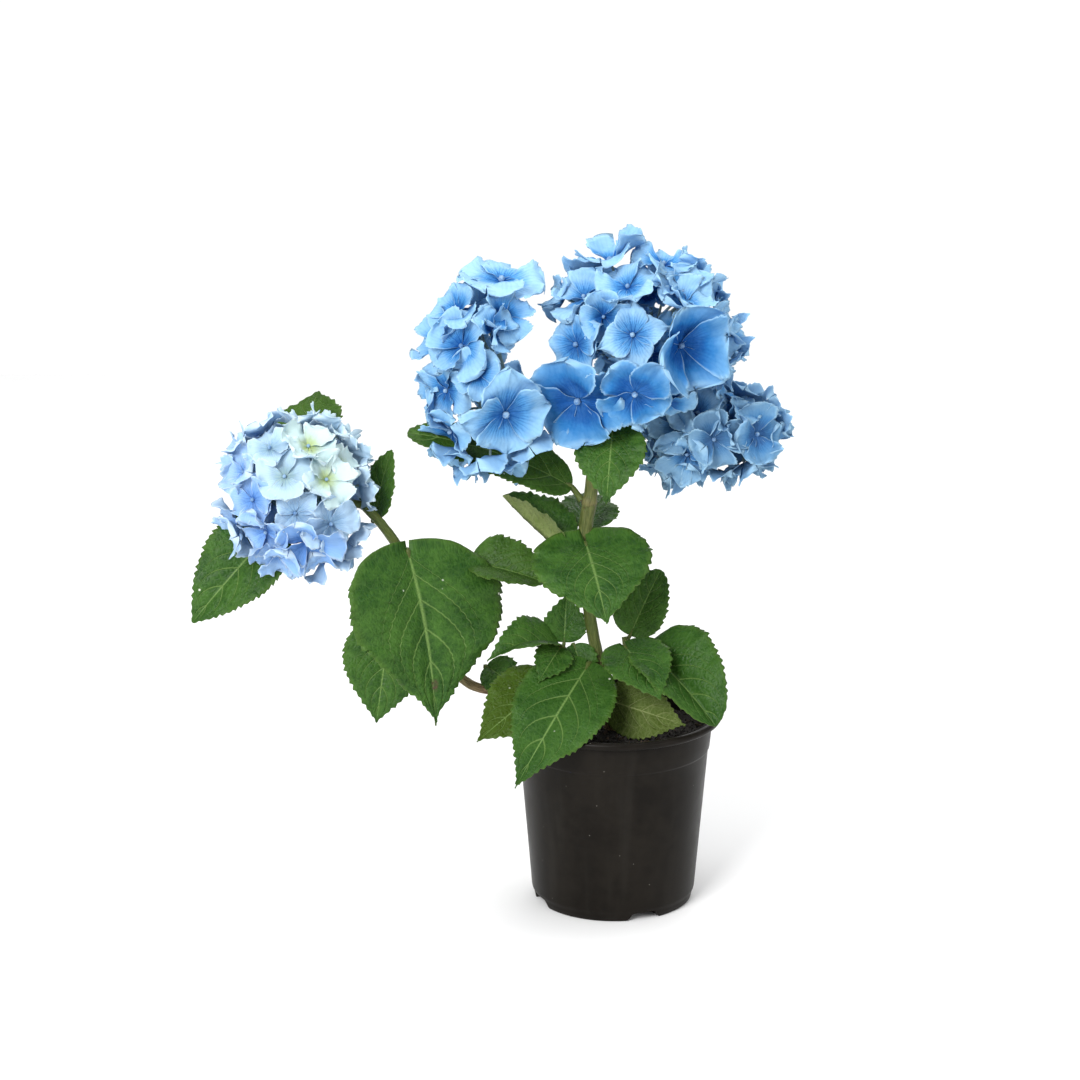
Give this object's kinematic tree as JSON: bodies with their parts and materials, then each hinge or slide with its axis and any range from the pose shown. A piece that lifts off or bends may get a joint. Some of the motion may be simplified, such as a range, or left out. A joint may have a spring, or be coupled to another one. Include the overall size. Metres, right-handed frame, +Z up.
{
  "type": "potted hydrangea",
  "caption": "Blue mophead hydrangea with serrated leaves, growing in a round dark plastic nursery pot.",
  "frame": {"origin": "centre of the pot's base, on the surface it stands on", "axes": "+Z up, -Y towards the front, +X to the right as seen from the front"},
  "size_m": [0.4154, 0.1785, 0.4764],
  "materials": {
    "pot_plastic": "satin",
    "soil": "matte",
    "bark": "matte",
    "green_stem": "satin",
    "leaf": "satin",
    "leaf_olive": "satin",
    "sepal_blue": "matte",
    "sepal_pale": "matte"
  },
  "bodies": {
    "root": {"pot": "pot_plastic", "potting_soil": "soil", "main_stem": "green_stem", "left_branch": "bark", "shoot_left": "green_stem", "shoot_right": "green_stem", "main_corymb_stalk": "green_stem", "side_corymb_stalk": "green_stem", "leaf_side_head_back": "leaf", "leaf_side_head_left": "leaf", "leaf_side_head_right": "leaf", "leaf_left_branch_large": "leaf", "leaf_left_branch_inner": "leaf", "leaf_left_branch_rear": "leaf", "leaf_mid_front": "leaf", "leaf_upper_left_folded": "leaf", "leaf_upper_right_rear": "leaf", "leaf_under_left_head": "leaf", "leaf_under_crown_front": "leaf", "leaf_right_upright": "leaf", "leaf_right_small": "leaf", "leaf_right_large": "leaf", "leaf_front_large": "leaf", "leaf_front_left_rear": "leaf_olive", "leaf_over_soil": "leaf_olive", "leaf_shoot_left": "leaf", "leaf_shoot_upright": "leaf", "leaf_shoot_small": "leaf", "leaf_shoot_dark": "leaf", "leaf_low_left_dark": "leaf", "left_head_florets_1": "sepal_blue", "left_head_florets_2": "sepal_blue", "left_head_florets_3": "sepal_blue", "left_head_florets_4": "sepal_blue", "left_head_florets_5": "sepal_blue", "left_head_florets_6": "sepal_blue", "centre_head_florets_1": "sepal_blue", "centre_head_florets_2": "sepal_blue", "centre_head_florets_3": "sepal_blue", "centre_head_florets_4": "sepal_blue", "centre_head_florets_5": "sepal_blue", "centre_head_florets_6": "sepal_blue", "centre_head_florets_7": "sepal_blue", "centre_head_florets_8": "sepal_blue", "right_head_florets_1": "sepal_blue", "right_head_florets_2": "sepal_blue", "right_head_florets_3": "sepal_blue", "right_head_florets_4": "sepal_blue", "right_head_florets_5": "sepal_blue", "side_head_florets_1": "sepal_pale", "side_head_florets_2": "sepal_pale", "side_head_florets_3": "sepal_pale", "side_head_florets_4": "sepal_pale", "side_head_florets_5": "sepal_pale", "side_head_florets_6": "sepal_pale", "side_head_florets_7": "sepal_pale"}
  },
  "joints": []
}
